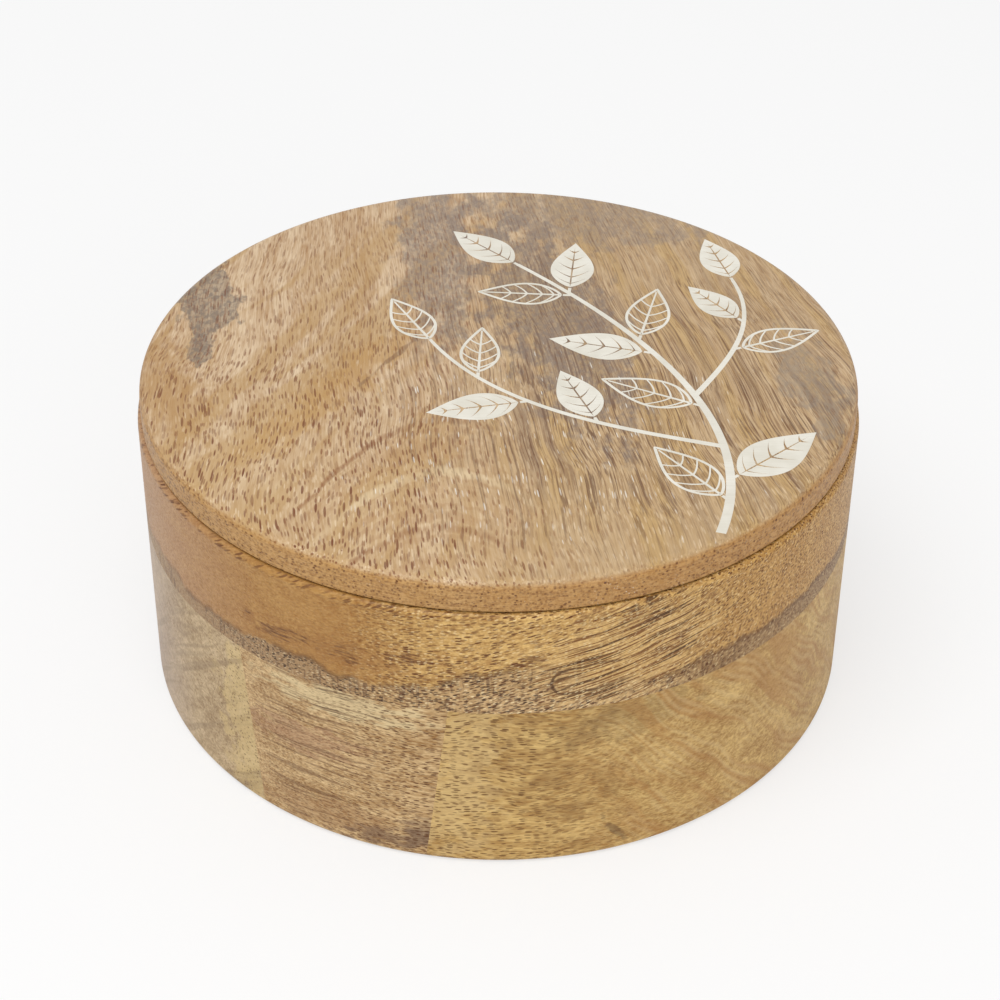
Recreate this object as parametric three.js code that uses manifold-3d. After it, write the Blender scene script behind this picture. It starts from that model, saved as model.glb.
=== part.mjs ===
// A round trinket box in mango wood, turned on a lathe, with a lift-off lid and a resin inlay.
//
// The body is turned from a glued-up blank: one thick board on top, and three blocks side by side below it.
// The lid is one turned board. Its edge sits on the rim, and a spigot under it drops into the mouth.
// The lid's top face carries a leafy sprig of cured resin, each piece in its own shallow pocket.
//
// Units are millimetres, +Z is up, -Y is the front, and the origin is the centre of the base.

import * as THREE from 'three';
import { mergeVertices } from 'three/addons/utils/BufferGeometryUtils.js';
import Module from 'manifold-3d';

const wasm = await Module();
wasm.setup();

// The box as a whole
const BOX_RADIUS = 75;
const BOX_HEIGHT = 70;
const WALL = 9;
const FLOOR = 9;
const MOUTH_RADIUS = BOX_RADIUS - WALL;

// The lid
const LID_EDGE_HEIGHT = 6.7;
const LID_RADIUS = 74.2;
const SEAT_GAP = 0.3;
const SPIGOT_DEPTH = 5;
const SPIGOT_CLEARANCE = 0.5;
const SPIGOT_RADIUS = MOUTH_RADIUS - SPIGOT_CLEARANCE;
const LID_SEAT = BOX_HEIGHT - LID_EDGE_HEIGHT;
const RIM_HEIGHT = LID_SEAT - SEAT_GAP;

// The glued blank. The joints between the blocks lean a little.
// Each has its x at the base and at the glue line.
const GLUE_LINE_HEIGHT = 39.4;
const GLUE_FILM = 0.1;
const BLOCK_JOINTS = [
  { foot: -47, top: -50.5 },
  { foot: -13.8, top: -9.2 },
];
const BLOCK_NAMES = ['lower_block_left', 'lower_block_middle', 'lower_block_right'];

// Eased edges, as sanded after turning
const LID_TOP_ROUND = 2;
const LID_FOOT_ROUND = 0.6;
const RIM_ROUND = 1.2;
const MOUTH_ROUND = 0.8;
const BASE_ROUND = 1.5;
const FLOOR_COVE = 3;
const SPIGOT_ROUND = 1;

const TURNS = 72;
const ARC_STEPS = 3;
const MERGE_WITHIN = 1e-4;

// The inlay
const INLAY_DEPTH = 1;
const POCKET_CLEARANCE = 0.3;
const POCKET_FLOOR = LID_EDGE_HEIGHT - INLAY_DEPTH;
const CUT_ABOVE = 1;
const LEAF_GAP = 1.5;
const LEAF_HALF_STEPS = 11;
const LEAF_FULLNESS = 0.75;
const STALK_REACH = 1.2;
const TIP_REACH = 2.2;
const SLIT_WIDTH = 1.4;
const SLIT_FROM = 0.2;
const SLIT_TO = 0.78;
const OUTLINE_WIDTH = 0.8;
const MIDRIB_WIDTH = 0.7;
const VEIN_WIDTH = 0.6;
const VEIN_PAIRS = 3;
const VEINS_FROM = 0.17;
const VEINS_TO = 0.66;
const VEIN_ANGLE = THREE.MathUtils.degToRad(38);
const LEAF_ANGLE = THREE.MathUtils.degToRad(46);
const LEAF_SLIMNESS = 0.5;
const STEM_STEPS = 28;

const WOOD = {
  lid: new THREE.MeshStandardMaterial({ color: '#c4a27c', roughness: 0.5, metalness: 0 }),
  upper: new THREE.MeshStandardMaterial({ color: '#b98a58', roughness: 0.5, metalness: 0 }),
  left: new THREE.MeshStandardMaterial({ color: '#bda27c', roughness: 0.5, metalness: 0 }),
  middle: new THREE.MeshStandardMaterial({ color: '#b08b63', roughness: 0.5, metalness: 0 }),
  right: new THREE.MeshStandardMaterial({ color: '#b99a67', roughness: 0.5, metalness: 0 }),
};
const RESIN = new THREE.MeshStandardMaterial({ color: '#e9e6dc', roughness: 0.35, metalness: 0 });

// Points on an arc round (cx, cy), from one angle to another in degrees.
function arc(cx, cy, radius, from, to) {
  return Array.from({ length: ARC_STEPS + 1 }, (_, i) => {
    const a = THREE.MathUtils.degToRad(from + ((to - from) * i) / ARC_STEPS);
    return new THREE.Vector2(cx + radius * Math.cos(a), cy + radius * Math.sin(a));
  });
}

const point = (x, y) => new THREE.Vector2(x, y);

// A profile of (radius, height) points turned about the Z axis.
function turned(profile) {
  return new THREE.LatheGeometry(profile, TURNS).rotateX(Math.PI / 2);
}

// A three.js geometry as a solid that can be cut and joined.
function solid(geometry) {
  const bare = new THREE.BufferGeometry()
    .setAttribute('position', geometry.getAttribute('position'))
    .setIndex(geometry.index);
  const merged = mergeVertices(bare, MERGE_WITHIN);
  return new wasm.Manifold(new wasm.Mesh({
    numProp: 3,
    vertProperties: merged.attributes.position.array,
    triVerts: new Uint32Array(merged.index.array),
  }));
}

// A solid back as a three.js geometry.
function geometryOf(made) {
  const mesh = made.getMesh();
  return new THREE.BufferGeometry()
    .setAttribute('position', new THREE.BufferAttribute(mesh.vertProperties, 3))
    .setIndex(new THREE.BufferAttribute(mesh.triVerts, 1));
}

function part(name, geometry, material) {
  const mesh = new THREE.Mesh(geometry, material);
  mesh.name = name;
  return mesh;
}

// The top board of the body: a plain ring with its rim and mouth eased.
function upperRing() {
  const profile = [
    point(MOUTH_RADIUS, GLUE_LINE_HEIGHT),
    point(BOX_RADIUS, GLUE_LINE_HEIGHT),
    ...arc(BOX_RADIUS - RIM_ROUND, RIM_HEIGHT - RIM_ROUND, RIM_ROUND, 0, 90),
    ...arc(MOUTH_RADIUS + MOUTH_ROUND, RIM_HEIGHT - MOUTH_ROUND, MOUTH_ROUND, 90, 180),
    point(MOUTH_RADIUS, GLUE_LINE_HEIGHT),
  ];
  return part('upper_ring', turned(profile), WOOD.upper);
}

// The space between two joint planes, drawn in X and Z and carried along Y.
function blockSlab(low, high, reach) {
  const at = (plane, z) => THREE.MathUtils.lerp(plane.foot, plane.top, z / GLUE_LINE_HEIGHT);
  const [under, over] = [-FLOOR, GLUE_LINE_HEIGHT + FLOOR];
  const half = GLUE_FILM / 2;
  const outline = new THREE.Shape([
    point(at(low, under) + half, under),
    point(at(high, under) - half, under),
    point(at(high, over) - half, over),
    point(at(low, over) + half, over),
  ]);
  const geometry = new THREE.ExtrudeGeometry(outline, { depth: 2 * reach, bevelEnabled: false });
  return solid(geometry.rotateX(Math.PI / 2).translate(0, reach, 0));
}

// The lower course is one turned cup, cut at the glue joints into the blocks that it was glued from.
function lowerBlocks() {
  const profile = [
    point(0, 0),
    ...arc(BOX_RADIUS - BASE_ROUND, BASE_ROUND, BASE_ROUND, -90, 0),
    point(BOX_RADIUS, GLUE_LINE_HEIGHT),
    point(MOUTH_RADIUS, GLUE_LINE_HEIGHT),
    ...arc(MOUTH_RADIUS - FLOOR_COVE, FLOOR + FLOOR_COVE, FLOOR_COVE, 0, -90),
    point(0, FLOOR),
  ];
  const cup = solid(turned(profile));
  const reach = BOX_RADIUS + WALL;
  const planes = [{ foot: -reach, top: -reach }, ...BLOCK_JOINTS, { foot: reach, top: reach }];
  const woods = [WOOD.left, WOOD.middle, WOOD.right];
  return BLOCK_NAMES.map((name, i) => {
    const slab = blockSlab(planes[i], planes[i + 1], reach);
    return part(name, geometryOf(cup.intersect(slab)), woods[i]);
  });
}

// The lid blank before its pockets are cut, with Z counted from the underside of its edge.
function lidBlank() {
  return solid(turned([
    point(0, -SPIGOT_DEPTH),
    ...arc(SPIGOT_RADIUS - SPIGOT_ROUND, SPIGOT_ROUND - SPIGOT_DEPTH, SPIGOT_ROUND, -90, 0),
    point(SPIGOT_RADIUS, 0),
    ...arc(LID_RADIUS - LID_FOOT_ROUND, LID_FOOT_ROUND, LID_FOOT_ROUND, -90, 0),
    ...arc(LID_RADIUS - LID_TOP_ROUND, LID_EDGE_HEIGHT - LID_TOP_ROUND, LID_TOP_ROUND, 0, 90),
    point(0, LID_EDGE_HEIGHT),
  ]));
}

// A flat outline as a plate that stands on Z = 0.
function plate(points, thickness) {
  const shape = new THREE.Shape(points);
  return solid(new THREE.ExtrudeGeometry(shape, { depth: thickness, bevelEnabled: false }));
}

// A leaf outline from its stalk at the origin to its tip on +X, wider towards the stalk.
// Its half width at the share s of its length is half the width times sin(pi * s^0.75).
// A margin grows it by about that much all round, and a negative margin shrinks it.
function leafOutline(length, width, margin) {
  const start = -STALK_REACH * margin;
  const long = length + (STALK_REACH + TIP_REACH) * margin;
  const half = (s) => (width / 2 + margin) * Math.sin(Math.PI * s ** LEAF_FULLNESS);
  const shares = Array.from({ length: LEAF_HALF_STEPS - 1 }, (_, i) => (i + 1) / LEAF_HALF_STEPS);
  const near = shares.map((s) => point(start + s * long, -half(s)));
  const far = shares.map((s) => point(start + s * long, half(s))).reverse();
  return [point(start, 0), ...near, point(start + long, 0), ...far];
}

// A straight strip between two points.
function strip(from, to, width, thickness) {
  const along = to.clone().sub(from);
  const side = point(-along.y, along.x).normalize().multiplyScalar(width / 2);
  const corners = [
    from.clone().sub(side),
    to.clone().sub(side),
    to.clone().add(side),
    from.clone().add(side),
  ];
  return plate(corners, thickness);
}

// The midrib and its pairs of slanting veins, as one open comb of strips grown by a margin.
function leafVeins(length, width, margin, thickness) {
  let comb = strip(point(0, 0), point(length, 0), MIDRIB_WIDTH + 2 * margin, thickness);
  for (let i = 0; i < VEIN_PAIRS; i += 1) {
    const foot = point(length * THREE.MathUtils.lerp(VEINS_FROM, VEINS_TO, i / (VEIN_PAIRS - 1)), 0);
    for (const side of [-1, 1]) {
      const tip = point(foot.x + width * Math.cos(VEIN_ANGLE), side * width * Math.sin(VEIN_ANGLE));
      comb = comb.add(strip(foot, tip, VEIN_WIDTH + 2 * margin, thickness));
    }
  }
  return comb;
}

// An outlined leaf: a closed line round the leaf, with its midrib and veins.
function outlineLeaf(length, width, margin, thickness) {
  const outer = plate(leafOutline(length, width, margin), thickness);
  const inner = plate(leafOutline(length, width, -OUTLINE_WIDTH - margin), thickness);
  const veins = leafVeins(length, width, margin, thickness).intersect(outer);
  return outer.subtract(inner).add(veins);
}

// A filled leaf, with a slit along its midrib in which a rib of the lid's wood stands.
function filledLeaf(length, width, margin, thickness) {
  const blade = plate(leafOutline(length, width, margin), thickness);
  const from = point(SLIT_FROM * length + margin, 0);
  const to = point(SLIT_TO * length - margin, 0);
  return blade.subtract(strip(from, to, SLIT_WIDTH - 2 * margin, thickness));
}

// A ribbon along a curve, tapering from one width to another, grown by a margin at its sides and ends.
function ribbon(curve, [widthFrom, widthTo], margin, thickness) {
  const edge = (side) => Array.from({ length: STEM_STEPS + 1 }, (_, i) => {
    const t = i / STEM_STEPS;
    const ahead = curve.getTangent(t);
    const out = side * (THREE.MathUtils.lerp(widthFrom, widthTo, t) / 2 + margin);
    const past = (2 * t - 1) * margin;
    return curve.getPoint(t).addScaledVector(ahead, past).add(point(-ahead.y, ahead.x).multiplyScalar(out));
  });
  return plate([...edge(-1), ...edge(1).reverse()], thickness);
}

// The sprig: a main stem that bows up the right of the lid, with a long twig and a short one.
const bezier = (...points) => new THREE.CubicBezierCurve(...points);
const MAIN_STEM = bezier(point(42, -58), point(53, -24), point(34, 10), point(4, 40));
const LEFT_TWIG = bezier(MAIN_STEM.getPoint(0.28), point(26, -24), point(0, -18), point(-14, 8));
const RIGHT_TWIG = bezier(MAIN_STEM.getPoint(0.46), point(48, 2), point(56, 16), point(51, 34));

// Each leaf says how far along its stem it stands, on which side, and whether it is filled.
// The side is 1 for left, -1 for right and 0 at the stem's tip.
const STEMS = [
  {
    curve: MAIN_STEM,
    widths: [2, 0.9],
    leaves: [
      { at: 0.1, side: 1, length: 20, filled: false },
      { at: 0.17, side: -1, length: 22, filled: true },
      { at: 0.42, side: 1, length: 20, filled: false },
      { at: 0.62, side: 1, length: 20, filled: true },
      { at: 0.67, side: -1, length: 19, filled: false },
      { at: 0.86, side: 1, length: 18, filled: false },
      { at: 0.87, side: -1, length: 19, filled: true },
      { at: 1, side: 0, length: 19, filled: true },
    ],
  },
  {
    curve: LEFT_TWIG,
    widths: [1.3, 0.8],
    leaves: [
      { at: 0.4, side: -1, length: 18, filled: true },
      { at: 0.62, side: 1, length: 19, filled: true },
      { at: 0.8, side: -1, length: 17, filled: false },
      { at: 1, side: 0, length: 18, filled: false },
    ],
  },
  {
    curve: RIGHT_TWIG,
    widths: [1.3, 0.8],
    leaves: [
      { at: 0.42, side: -1, length: 18, filled: false },
      { at: 0.66, side: 1, length: 16, filled: true },
      { at: 1, side: 0, length: 17, filled: true },
    ],
  },
];

// A leaf's stalk end stands a small gap off its stem, and the leaf leans away from the stem's direction.
const LEAVES = STEMS.flatMap(({ curve, widths, leaves }) => leaves.map(({ at, side, length, filled }) => {
  const ahead = curve.getTangent(at);
  const angle = Math.atan2(ahead.y, ahead.x) + side * LEAF_ANGLE;
  const out = LEAF_GAP + (Math.abs(side) * widths[0]) / 2;
  const foot = curve.getPoint(at).add(point(Math.cos(angle), Math.sin(angle)).multiplyScalar(out));
  return { foot, angle, length, width: LEAF_SLIMNESS * length, filled };
}));

function makeLeaf(leaf, margin, thickness) {
  const make = leaf.filled ? filledLeaf : outlineLeaf;
  return make(leaf.length, leaf.width, margin, thickness);
}

function makeStems(margin, thickness) {
  const ribbons = STEMS.map(({ curve, widths }) => ribbon(curve, widths, margin, thickness));
  return ribbons.reduce((all, one) => all.add(one));
}

// The lid board: the turned blank less a pocket for each piece of the inlay.
function lidPanel() {
  const cutDepth = INLAY_DEPTH + CUT_ABOVE;
  let panel = lidBlank().subtract(makeStems(POCKET_CLEARANCE, cutDepth).translate([0, 0, POCKET_FLOOR]));
  for (const leaf of LEAVES) {
    const cutter = makeLeaf(leaf, POCKET_CLEARANCE, cutDepth)
      .rotate([0, 0, THREE.MathUtils.radToDeg(leaf.angle)])
      .translate([leaf.foot.x, leaf.foot.y, POCKET_FLOOR]);
    panel = panel.subtract(cutter);
  }
  return part('lid_panel', geometryOf(panel), WOOD.lid);
}

function inlayPieces() {
  const stem = part('inlay_stem', geometryOf(makeStems(0, INLAY_DEPTH)), RESIN);
  stem.position.z = POCKET_FLOOR;
  const leaves = LEAVES.map((leaf, i) => {
    const kind = leaf.filled ? 'filled' : 'outline';
    const name = `inlay_${kind}_leaf_${String(i + 1).padStart(2, '0')}`;
    const mesh = part(name, geometryOf(makeLeaf(leaf, 0, INLAY_DEPTH)), RESIN);
    mesh.position.set(leaf.foot.x, leaf.foot.y, POCKET_FLOOR);
    mesh.rotation.z = leaf.angle;
    return mesh;
  });
  return [stem, ...leaves];
}

const body = new THREE.Group();
body.add(upperRing(), ...lowerBlocks());

const lid = new THREE.Group();
lid.position.z = LID_SEAT;
lid.add(lidPanel(), ...inlayPieces());

const box = new THREE.Group();
box.add(body, lid);

export default box;
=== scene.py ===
# %% [markdown]
# # A turned mango wood box with an inlaid lid
#
# The box is turned on a lathe from a glued-up blank, and its loose lid carries a sprig of pale resin. The
# solids come packed as a fixed frame, in metres, with +Z up and the front at -Y. Here every wooden piece
# is turned again with a fine surface, the resin is laid into the lid in fine lines, and each board gets
# its own grain.

# %% Load the frame
import math
from functools import partial
from types import SimpleNamespace

import bmesh
import bpy
import numpy as np
from mathutils import Matrix, Vector


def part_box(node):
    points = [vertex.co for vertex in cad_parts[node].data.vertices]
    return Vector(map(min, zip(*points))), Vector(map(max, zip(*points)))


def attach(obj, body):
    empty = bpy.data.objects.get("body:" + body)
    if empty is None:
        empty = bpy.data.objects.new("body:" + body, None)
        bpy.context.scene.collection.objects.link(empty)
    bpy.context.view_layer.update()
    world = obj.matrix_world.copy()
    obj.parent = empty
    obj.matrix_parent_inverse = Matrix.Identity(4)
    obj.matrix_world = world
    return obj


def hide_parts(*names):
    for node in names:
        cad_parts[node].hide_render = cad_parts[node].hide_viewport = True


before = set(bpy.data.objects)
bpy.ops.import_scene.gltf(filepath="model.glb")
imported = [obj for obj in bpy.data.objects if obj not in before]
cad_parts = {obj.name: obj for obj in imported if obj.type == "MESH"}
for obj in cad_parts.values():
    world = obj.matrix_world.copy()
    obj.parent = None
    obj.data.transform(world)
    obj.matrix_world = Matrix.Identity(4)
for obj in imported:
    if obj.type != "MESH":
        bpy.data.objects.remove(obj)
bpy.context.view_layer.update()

# %% [markdown]
# ## Sizes read from the frame
#
# The frame says how big each piece is, so the fine pieces need no sizes of their own for the outline. The
# wall and the floor, the clearance of the spigot and the gap under the lid are given here as real sizes,
# in millimetres.

# %% Sizes
MM = 0.001


def span(node, axis):
    """The lowest and the highest place of a node along an axis, in millimetres."""
    low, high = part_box(node)
    return low[axis] / MM, high[axis] / MM


RING_LOW, RING_HIGH = span("upper_ring", 2)
LID_LOW, LID_HIGH = span("lid_panel", 2)
BODY_RADIUS = span("upper_ring", 0)[1]
LID_RADIUS = span("lid_panel", 0)[1]
WALL = 9.0
FLOOR = 9.0
SPIGOT_CLEARANCE = 0.5
SEAT_GAP = 0.3
MOUTH_RADIUS = BODY_RADIUS - WALL
SPIGOT_RADIUS = MOUTH_RADIUS - SPIGOT_CLEARANCE
LID_SEAT = RING_HIGH + SEAT_GAP
print(f"body radius {BODY_RADIUS:.2f} mm, rim at {RING_HIGH:.2f} mm, lid radius {LID_RADIUS:.2f} mm")

# %% [markdown]
# ## The camera
#
# The photograph was taken from in front and above, with a long lens. The distance, the height and the
# lens were worked out from the outline of the lid and of the base, which are both circles of a known
# size.

# %% Camera
CAMERA_DISTANCE = 520.7 * MM
CAMERA_ELEVATION = math.radians(36.19)
CAMERA_LENS_MM = 86.78
CAMERA_SENSOR_MM = 36
CAMERA_SHIFT = (0.0022, -0.0006)
CAMERA_ROLL = math.radians(0.45)
AIM_HEIGHT = 35 * MM

aim = Vector((0, 0, AIM_HEIGHT))
back_off = Vector((0, -math.cos(CAMERA_ELEVATION), math.sin(CAMERA_ELEVATION))) * CAMERA_DISTANCE
camera_data = bpy.data.cameras.new("camera")
camera_data.sensor_width = CAMERA_SENSOR_MM
camera_data.lens = CAMERA_LENS_MM
camera_data.shift_x, camera_data.shift_y = CAMERA_SHIFT
camera = bpy.data.objects.new("camera", camera_data)
bpy.context.scene.collection.objects.link(camera)
looking = (-back_off).to_track_quat("-Z", "Y").to_matrix().to_4x4()
camera.matrix_world = Matrix.Translation(aim + back_off) @ looking @ Matrix.Rotation(CAMERA_ROLL, 4, "Z")
bpy.context.scene.camera = camera
print("camera at", [round(c, 3) for c in camera.matrix_world.translation])

# %% [markdown]
# ## Small tools for meshes
#
# Every new piece is a grid of points worked out by a formula. One function turns such a grid into a mesh:
# two neighbouring rows and two neighbouring columns share a face. Where a row shrinks to one point, as at
# the middle of a lid, the doubled points are merged, so that the skin is closed.

# %% Grids into meshes
SHARP_OVER = math.radians(35)
MERGE_WITHIN = 1e-7


def grid_faces(rows, columns, wrap_rows=False, wrap_columns=False):
    """The faces of a grid: point (i, j) is joined to (i, j + 1), (i + 1, j + 1) and (i + 1, j)."""
    i, j = np.meshgrid(np.arange(rows if wrap_rows else rows - 1),
                       np.arange(columns if wrap_columns else columns - 1), indexing="ij")
    after_i, after_j = (i + 1) % rows, (j + 1) % columns
    corners = [i * columns + j, i * columns + after_j, after_i * columns + after_j, after_i * columns + j]
    return np.stack(corners, axis=-1).reshape(-1, 4)


def piece_from(name, points, faces):
    """An object from points in millimetres and faces, with doubled points merged and corners kept sharp."""
    mesh = bpy.data.meshes.new(name)
    mesh.from_pydata((points * MM).tolist(), [], faces.tolist())
    work = bmesh.new()
    work.from_mesh(mesh)
    bmesh.ops.remove_doubles(work, verts=work.verts, dist=MERGE_WITHIN)
    work.to_mesh(mesh)
    work.free()
    mesh.polygons.foreach_set("use_smooth", np.ones(len(mesh.polygons), dtype=bool))
    mesh.set_sharp_from_angle(angle=SHARP_OVER)
    made = bpy.data.objects.new(name, mesh)
    bpy.context.scene.collection.objects.link(made)
    return made


# %% [markdown]
# ## Turned profiles
#
# A lathe gives a solid of revolution. Its profile is a line of corners, each eased by a small radius, as
# the sanding leaves it. An arc that eases a corner starts and ends away from it by the radius over the
# tangent of half the angle between its two sides. A support point stands just before and just after each
# arc, so that the flat stretches stay flat when the shading is smoothed.

# %% Profiles
ARC_STEPS = 8
SUPPORT = 0.15
STRAIGHT_STEP = 6.0


def eased(corners, closed):
    """A line of corners (radius, height, easing), with each eased corner drawn as an arc."""
    places = np.array([c[:2] for c in corners], dtype=float)
    line = []
    for k, (here, (_, _, ease)) in enumerate(zip(places, corners)):
        if ease == 0:
            line.append(here)
            continue
        before = places[k - 1] - here
        after = places[(k + 1) % len(places)] - here
        before, after = before / np.linalg.norm(before), after / np.linalg.norm(after)
        half = math.acos(np.clip(before @ after, -1, 1)) / 2
        reach = ease / math.tan(half)
        middle = here + (before + after) / np.linalg.norm(before + after) * ease / math.sin(half)
        start, end = here + before * reach - middle, here + after * reach - middle
        turn = math.atan2(start[0] * end[1] - start[1] * end[0], start @ end)
        line.append(here + before * (reach + SUPPORT))
        for share in np.linspace(0, 1, ARC_STEPS + 1):
            c, s = math.cos(turn * share), math.sin(turn * share)
            line.append(middle + np.array([c * start[0] - s * start[1], s * start[0] + c * start[1]]))
        line.append(here + after * (reach + SUPPORT))
    if closed:
        line.append(line[0])
    filled = [line[0]]
    for a, b in zip(line[:-1], line[1:]):
        steps = max(1, int(np.linalg.norm(b - a) // STRAIGHT_STEP))
        filled += [a + (b - a) * n / steps for n in range(1, steps + 1)]
    return np.array(filled[:-1] if closed else filled)


# %% Turning
TURN_STEPS = 256


def turned(name, profile, closed):
    """The profile (radius r, height z) turned about Z: x = r sin(a), y = -r cos(a), a = 0 at the front."""
    angle = np.linspace(0, 2 * math.pi, TURN_STEPS, endpoint=False)
    r, z = profile[:, 0, None], profile[:, 1, None]
    points = np.stack([r * np.sin(angle), -r * np.cos(angle), z + 0 * angle], axis=-1)
    faces = grid_faces(len(profile), TURN_STEPS, wrap_rows=closed, wrap_columns=True)
    made = piece_from(name, points.reshape(-1, 3), faces)
    print(name, len(made.data.polygons), "faces")
    return made


# %% [markdown]
# ## The upper board
#
# The top course of the body is one thick board, turned to a ring. It could be a tube with a bevel, but
# the rim, the mouth and the wall belong to one cut of the tool, so one closed profile is turned in a
# single pass.

# %% Upper ring
RIM_EASE_OUTSIDE = 1.2
RIM_EASE_INSIDE = 0.8

ring_profile = eased([
    (MOUTH_RADIUS, RING_LOW, 0),
    (BODY_RADIUS, RING_LOW, 0),
    (BODY_RADIUS, RING_HIGH, RIM_EASE_OUTSIDE),
    (MOUTH_RADIUS, RING_HIGH, RIM_EASE_INSIDE),
], closed=True)
upper_ring = turned("upper_ring_turned", ring_profile, closed=True)

# %% [markdown]
# ## The lower blocks
#
# The lower course is glued up from three blocks before it is turned, so the glue joints run straight
# through the wall and the floor. The cup is turned whole and then sawn at each joint by a plane, and the
# cut is closed. The joints lean a little, as the sawn edges of the blocks did.

# %% Lower blocks
SIDES = ["left", "middle", "right"]
JOINTS = [
    {"foot": -47.0, "top": -50.5},
    {"foot": -13.8, "top": -9.2},
]
BASE_EASE = 1.5
COVE_EASE = 3

cup_profile = eased([
    (0, 0, 0),
    (BODY_RADIUS, 0, BASE_EASE),
    (BODY_RADIUS, RING_LOW, 0),
    (MOUTH_RADIUS, RING_LOW, 0),
    (MOUTH_RADIUS, FLOOR, COVE_EASE),
    (0, FLOOR, 0),
], closed=False)


def sawn(piece, joint, keep):
    """Saws a piece by a joint's plane, keeps the side of lower x (-1) or higher x (1), and closes it."""
    lean = math.atan2(joint["top"] - joint["foot"], RING_LOW)
    normal = Vector((math.cos(lean), 0, -math.sin(lean))) * -keep
    work = bmesh.new()
    work.from_mesh(piece.data)
    everything = work.verts[:] + work.edges[:] + work.faces[:]
    foot = Vector((joint["foot"], 0, 0)) * MM
    cut = bmesh.ops.bisect_plane(work, geom=everything, plane_co=foot, plane_no=normal, clear_outer=True)
    rim = [e for e in cut["geom_cut"] if isinstance(e, bmesh.types.BMEdge)]
    bmesh.ops.triangle_fill(work, edges=rim, use_beauty=True, normal=normal)
    work.to_mesh(piece.data)
    work.free()
    piece.data.set_sharp_from_angle(angle=SHARP_OVER)


lower_blocks = [turned(f"lower_block_{side}_turned", cup_profile, closed=False) for side in SIDES]
for joint, on_its_left, on_its_right in zip(JOINTS, lower_blocks[:-1], lower_blocks[1:]):
    sawn(on_its_right, joint, keep=1)
    sawn(on_its_left, joint, keep=-1)
print("sawn:", [len(block.data.polygons) for block in lower_blocks], "faces")

# %% [markdown]
# ## The lid
#
# The lid is one board. Its edge is eased more at the top than at the foot, and the spigot under it drops
# into the mouth. Its top face stays plain here, because the resin fills the pockets to the brim.

# %% Lid board
SPIGOT_EASE = 1
LID_FOOT_EASE = 0.6
LID_TOP_EASE = 2

lid_profile = eased([
    (0, LID_LOW, 0),
    (SPIGOT_RADIUS, LID_LOW, SPIGOT_EASE),
    (SPIGOT_RADIUS, LID_SEAT, 0),
    (LID_RADIUS, LID_SEAT, LID_FOOT_EASE),
    (LID_RADIUS, LID_HIGH, LID_TOP_EASE),
    (0, LID_HIGH, 0),
], closed=False)
lid_board = turned("lid_board_turned", lid_profile, closed=False)

# %% [markdown]
# ## The inlay
#
# The sprig is routed into the lid and filled with resin, then sanded flush. Here it is a set of thin
# plates that stand a hair's breadth above the wood, so that their edges stay crisp. Where two lines of
# one piece cross, the later one lies a tiny step lower, so that their faces don't share a plane. The
# stems are ribbons along curves: a ribbon runs along a path and is as wide as a formula says at each
# place.

# %% Ribbons
PROUD = 0.03
PLATE = 0.3
LAYER_STEP = 0.002
RIBBON_COLUMNS = 3
TOP = LID_HIGH + PROUD


def bezier(points, t):
    """The points of a cubic curve at the shares t, and its direction there.

    With the ends a and d and the handles b and c, and u = 1 - t, a point is
    u^3 a + 3 u^2 t b + 3 u t^2 c + t^3 d.
    """
    a, b, c, d = np.array(points, dtype=float)
    t = np.atleast_1d(t)[:, None]
    place = (1 - t) ** 3 * a + 3 * (1 - t) ** 2 * t * b + 3 * (1 - t) * t ** 2 * c + t ** 3 * d
    along = (1 - t) ** 2 * (b - a) + 2 * (1 - t) * t * (c - b) + t ** 2 * (d - c)
    return place, along / np.linalg.norm(along, axis=1, keepdims=True)


def ribbon(path, width, height):
    """A flat strip: each point of the path is widened to both sides by half the width there."""
    along = np.gradient(path, axis=0)
    side = np.stack([-along[:, 1], along[:, 0]], axis=1)
    side /= np.linalg.norm(side, axis=1, keepdims=True)
    half = np.broadcast_to(width, len(path))[:, None] / 2
    across = np.linspace(1, -1, RIBBON_COLUMNS)[None, :, None]
    flat = path[:, None, :] + across * (side * half)[:, None, :]
    points = np.concatenate([flat, np.full(flat.shape[:2] + (1,), height)], axis=2)
    return points.reshape(-1, 3), grid_faces(len(path), RIBBON_COLUMNS)


def joined(name, patches):
    """One piece from several patches of points and faces, each thickened downwards into a plate."""
    starts = np.cumsum([0] + [len(points) for points, _ in patches])
    points = np.concatenate([points for points, _ in patches])
    faces = np.concatenate([faces + start for (_, faces), start in zip(patches, starts)])
    made = piece_from(name, points, faces)
    made.data.shade_flat()
    plate = made.modifiers.new("plate", "SOLIDIFY")
    plate.thickness = PLATE * MM
    plate.offset = -1
    return made
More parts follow.
